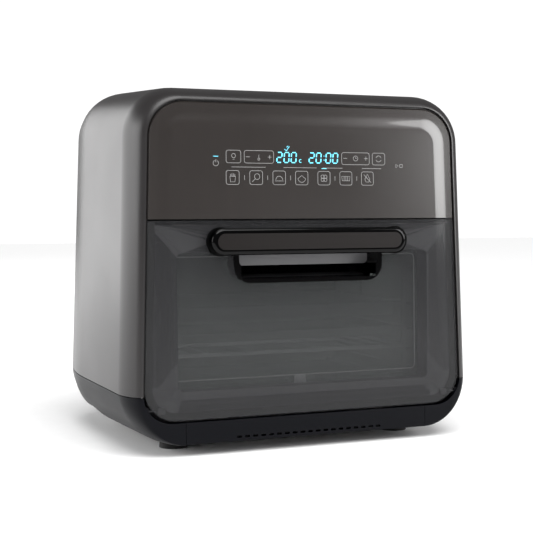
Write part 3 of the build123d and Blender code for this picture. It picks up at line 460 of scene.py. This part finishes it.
def body_skin():
    """Moulded shell with its front and rear openings, as one closed wall."""
    opening = outline(DOOR_LOW - GAP / 2, PANEL_HIGH + GAP / 2, SEAM - GAP / 2, OPENING_LOW_RADIUS,
                      OPENING_HIGH_RADIUS)
    rear_opening = rectangle(-REAR_HALF, REAR_HALF, REAR_LOW, REAR_HIGH, REAR_RADIUS)
    outer, inner, least_radius = [], [], 3
    for depth, inset, low, high, low_radius, high_radius, lean in body_stations():
        section = outline(low, high, inset, low_radius, high_radius)
        outer.append([on_section(x, z, depth, lean) for x, z in section])
        section = outline(low + WALL, high - WALL, inset + WALL, max(low_radius - WALL, least_radius),
                          max(high_radius - WALL, least_radius))
        place = min(max(depth, WALL), BODY_DEPTH - WALL)
        inner.append([on_section(x, z, place, lean) for x, z in section])
    rings = [[on_section(x, z, 0, LEAN) for x, z in opening]] + outer
    rings.append([on_section(x, z, BODY_DEPTH - 0.2, -LEAN) for x, z in rear_opening])
    rings.append([on_section(x, z, BODY_DEPTH - WALL, -LEAN) for x, z in rear_opening])
    rings += inner[::-1]
    rings.append([on_section(x, z, WALL, LEAN) for x, z in opening])
    return loft(rings, closed=True)


bm = body_skin()
keep_side(bm, Vector((0, 0, BASE_SEAM + SEAM_LINE / 2)) * MM, Vector((0, 0, 1)))
finish(make_object("housing_form", bm, SHELL_CREASE), "housing_plastic", "body", "housing_shell")

bm = body_skin()
keep_side(bm, Vector((0, 0, BASE_SEAM - SEAM_LINE / 2)) * MM, Vector((0, 0, -1)))
base_form = make_object("base_form", bm, SHELL_CREASE)
# recesses for the toe piece, the bottom pan and the arch in each side
TRIM_HALF, TRIM_LOW, TRIM_HIGH, TRIM_FRONT, TRIM_BACK = 130.3, 8, 40, -3, 13
UNDERSIDE_HALF, UNDERSIDE_LOW, UNDERSIDE_HIGH, UNDERSIDE_FRONT, UNDERSIDE_BACK = 100.0, 5, 20, 30, 250
ARCH_INNER, ARCH_OUTER, ARCH_RADIUS = 135, 200, 12
ARCH_FRONT, ARCH_BACK, ARCH_LOW, ARCH_HIGH = 152, 212, -8, 28
toe = rectangle(-TRIM_HALF, TRIM_HALF, TRIM_LOW, TRIM_HIGH, TIGHT_CORNER)
cutters = [prism(toe, on_front, TRIM_FRONT, TRIM_BACK)]
underside = rectangle(-UNDERSIDE_HALF, UNDERSIDE_HALF, UNDERSIDE_LOW, UNDERSIDE_HIGH, TIGHT_CORNER)
cutters.append(prism(underside, lambda x, z, y: on_section(x, z, y, 0), UNDERSIDE_FRONT, UNDERSIDE_BACK))
for side in (-1, 1):
    ends = sorted((side * ARCH_INNER, side * ARCH_OUTER))
    notch = rectangle(ARCH_FRONT, ARCH_BACK, ARCH_LOW, ARCH_HIGH, ARCH_RADIUS)
    cutters.append(loft([[Vector((x, FRONT_Y + y, z)) * MM for y, z in notch] for x in ends]))
carve(base_form, cutters)
BOSS_INNER, BOSS_OUTER, BOSS_HALF, BOSS_CORNER = 166.4, 170.0, 4.0, 0.6
BOSS_FRONT, BOSS_BACK = 1.2, 8
for side in (-1, 1):
    ends = sorted((side * BOSS_INNER, side * BOSS_OUTER))
    block = rectangle(*ends, hinge[2] / MM - BOSS_HALF, hinge[2] / MM + BOSS_HALF, BOSS_CORNER)
    name = "hinge_boss_left" if side < 0 else "hinge_boss_right"
    finish(make_object(name, prism(block, on_front, BOSS_FRONT, BOSS_BACK)), "base_plastic", "body")
finish(base_form, "base_plastic", "body", "base_shell")


# ---- display and touch icons --------------------------------------------------------------------
PRINT_DEPTH = -RISE - 0.05
STROKE = 0.36


def lines(name, strokes, width, material, body="body", depth=PRINT_DEPTH):
    """Fine printed lines. Each stroke is a list of points and whether it closes."""
    curve = bpy.data.curves.new(name, "CURVE")
    curve.dimensions = "3D"
    curve.bevel_depth = width / 2 * MM
    curve.bevel_resolution = 1
    curve.use_fill_caps = True
    for points, cyclic in strokes:
        spline = curve.splines.new("POLY")
        spline.points.add(len(points) - 1)
        for target, (x, z) in zip(spline.points, points):
            target.co = (*on_front(x, z, depth), 1)
        spline.use_cyclic_u = cyclic
    obj = bpy.data.objects.new(name, curve)
    bpy.context.scene.collection.objects.link(obj)
    curve.materials.append(material)
    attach(obj, body)
    return obj


def box_stroke(x0, x1, z0, z1, radius=2.2):
    """Rounded frame."""
    return rectangle(x0, x1, z0, z1, radius), True


def circle_stroke(x, z, radius, start=0, sweep=360, steps=20):
    """Circle, or an arc of it."""
    turn = [math.radians(start + sweep * k / steps) for k in range(steps + (sweep < 360))]
    return [(x + radius * math.cos(a), z + radius * math.sin(a)) for a in turn], sweep == 360


SEGMENTS = {"0": "abcdef", "2": "abged"}
DIGIT_WIDTH, DIGIT_HEIGHT, DIGIT_SLANT = 6.0, 9.8, 0.08
DIGIT_STROKE, DIGIT_SPACE, COLON_WIDTH, MARK_STROKE = 1.15, 1.6, 3.0, 0.6


def digit_strokes(text, left, middle):
    """Seven-segment figures with small gaps between their bars."""
    half, ease, strokes, x = DIGIT_HEIGHT / 2, 0.75, [], left
    for figure in text:
        if figure == ":":
            for z in (middle - 2, middle + 2):
                strokes.append(([(x + 0.9, z - 0.3), (x + 0.9, z + 0.3)], False))
            x += COLON_WIDTH
            continue
        w = DIGIT_WIDTH - 0.9
        bars = {"a": ((ease, half), (w - ease, half)), "g": ((ease, 0), (w - ease, 0)),
                "d": ((ease, -half), (w - ease, -half)), "f": ((0, half - ease), (0, ease)),
                "b": ((w, half - ease), (w, ease)), "e": ((0, -ease), (0, ease - half)),
                "c": ((w, -ease), (w, ease - half))}
        for letter in SEGMENTS[figure]:
            strokes.append(([(x + u + DIGIT_SLANT * v, middle + v) for u, v in bars[letter]], False))
        x += DIGIT_WIDTH + DIGIT_SPACE
    return strokes


DISPLAY_MIDDLE = 286.4
lit = digit_strokes("200", -33.8, DISPLAY_MIDDLE) + digit_strokes("20:00", 0.8, DISPLAY_MIDDLE)
lines("display_digits", lit, DIGIT_STROKE, DISPLAY_GLOW)
marks = [([(-26, 294.4), (-23.6, 293), (-20.6, 297.2)], False),
         ([(-23.4, 296.4), (-22.2, 297.6)], False)]
marks += [([(-100, 286.6), (-95, 286.6)], False), ([(14, 276), (19.4, 276)], False)]
marks += [circle_stroke(-8.6, 283.2, 1.5, 60, 240)]
lines("display_marks", marks, MARK_STROKE, DISPLAY_GLOW)

BUTTON_LOW, BUTTON_HIGH, BUTTON_MIDDLE = 280.5, 292.6, 286.5
printed = [box_stroke(-86.9, -71.8, BUTTON_LOW, BUTTON_HIGH),
           box_stroke(-68.2, -37.4, BUTTON_LOW, BUTTON_HIGH),
           box_stroke(36.3, 67.2, BUTTON_LOW - 0.2, BUTTON_HIGH - 0.4),
           box_stroke(70.6, 84.9, BUTTON_LOW - 0.2, BUTTON_HIGH - 0.4)]
for left in (-64.5, 40.2):
    printed.append(([(left - 2, BUTTON_MIDDLE), (left + 2, BUTTON_MIDDLE)], False))
for right in (-41.6, 63.4):
    printed.append(([(right - 2, BUTTON_MIDDLE), (right + 2, BUTTON_MIDDLE)], False))
    printed.append(([(right, BUTTON_MIDDLE - 2), (right, BUTTON_MIDDLE + 2)], False))
printed.append(([(-53, 288.6), (-53, 285.4)], False))
printed += [circle_stroke(-53, 284.4, 1.1), circle_stroke(51.8, BUTTON_MIDDLE, 2.5)]
printed.append(([(51.8, 288), (51.8, BUTTON_MIDDLE), (53, BUTTON_MIDDLE)], False))
printed += [circle_stroke(-79.3, 287.4, 2.0), ([(-80.2, 284), (-78.4, 284)], False)]
printed += [circle_stroke(77.8, 286.4, 3.0, 20, 140), circle_stroke(77.8, 286.4, 3.0, 200, 140)]
printed += [circle_stroke(-97.5, 280.1, 2.7, 120, 300), ([(-97.5, 281), (-97.5, 283.8)], False)]
printed.append(([(97.4, 277.8), (97.4, 281.4), (100.4, 279.6)], True))
printed.append((rectangle(102, 105, 278.1, 281.1, 0.2), True))
for start, stop in ((-81.4, -46), (-27, 8.8), (15.7, 37), (59, 80.5)):
    printed.append(([(start, 276.6), (stop, 276.6)], False))

ICON_MIDDLE, ICON_HALF = 266.5, 6.7
ICON_PLACES = (-80.4, -56.0, -31.7, -7.6, 16.6, 40.8, 64.9)
for x in ICON_PLACES:
    printed.append(box_stroke(x - ICON_HALF, x + ICON_HALF, ICON_MIDDLE - ICON_HALF,
                              ICON_MIDDLE + ICON_HALF))
for x in (-68.2, -43.9, -19.6, 28.7, 52.9):
    printed.append(([(x, ICON_MIDDLE - 2.2), (x, ICON_MIDDLE + 2.2)], False))


def around(x, points, cyclic=False):
    """Stroke drawn about the middle of an icon."""
    return [(x + u, ICON_MIDDLE + v) for u, v in points], cyclic


fries, leg, roast, pizza, fan, grill, drop = ICON_PLACES
printed.append(around(fries, [(-3, 1), (3, 1), (2.2, -4.2), (-2.2, -4.2)], True))
printed += [around(fries, [(u, 1), (u * 1.15, 4.2 - abs(u) * 0.4)]) for u in (-2, -0.7, 0.7, 2)]
printed += [circle_stroke(leg + 1, ICON_MIDDLE + 1, 2.8), around(leg, [(-1, -1), (-4, -4)])]
printed += [around(roast, [(-4.4, -3), (4.4, -3)]), circle_stroke(roast, ICON_MIDDLE - 2, 3.6, 0, 180)]
printed.append(circle_stroke(pizza, ICON_MIDDLE, 4.2, 190, 160))
printed.append(around(pizza, [(-4.2, -0.7), (0, 2.4), (4.2, -0.7)]))
for turn in (45, 135, 225, 315):
    a = math.radians(turn)
    printed.append(circle_stroke(fan + 2.2 * math.cos(a), ICON_MIDDLE + 2.2 * math.sin(a), 1.7))
printed.append(around(grill, [(-4, -2.4), (4, -2.4), (4.6, 2), (-4.6, 2)], True))
printed += [around(grill, [(u, -2.4), (u, 2)]) for u in (-2, 0, 2)]
printed.append(around(drop, [(0, 4.4), (2.8, -0.6), (1.8, -3.4), (-1.8, -3.4), (-2.8, -0.6)], True))
printed.append(around(drop, [(-4, 4), (4, -4)]))
# the printed icons carry the painted glow of their print material
lines("touch_icons", printed, STROKE, PRINT_WHITE_PAINTED_GLOW)

# ---- line printed round the window, on the inner glass ------------------------------------------
WINDOW_HALF, WINDOW_LOW, WINDOW_HIGH, WINDOW_RADIUS = 132.3, 70.2, 190.4, 5
WINDOW_DEPTH, WINDOW_STROKE = 24.3, 0.7
window_edge = box_stroke(-WINDOW_HALF, WINDOW_HALF, WINDOW_LOW, WINDOW_HIGH, WINDOW_RADIUS)
# the window line is print on glass and carries the same painted glow
lines("window_print", [window_edge], WINDOW_STROKE, PRINT_WHITE_PAINTED_GLOW, "door", WINDOW_DEPTH)
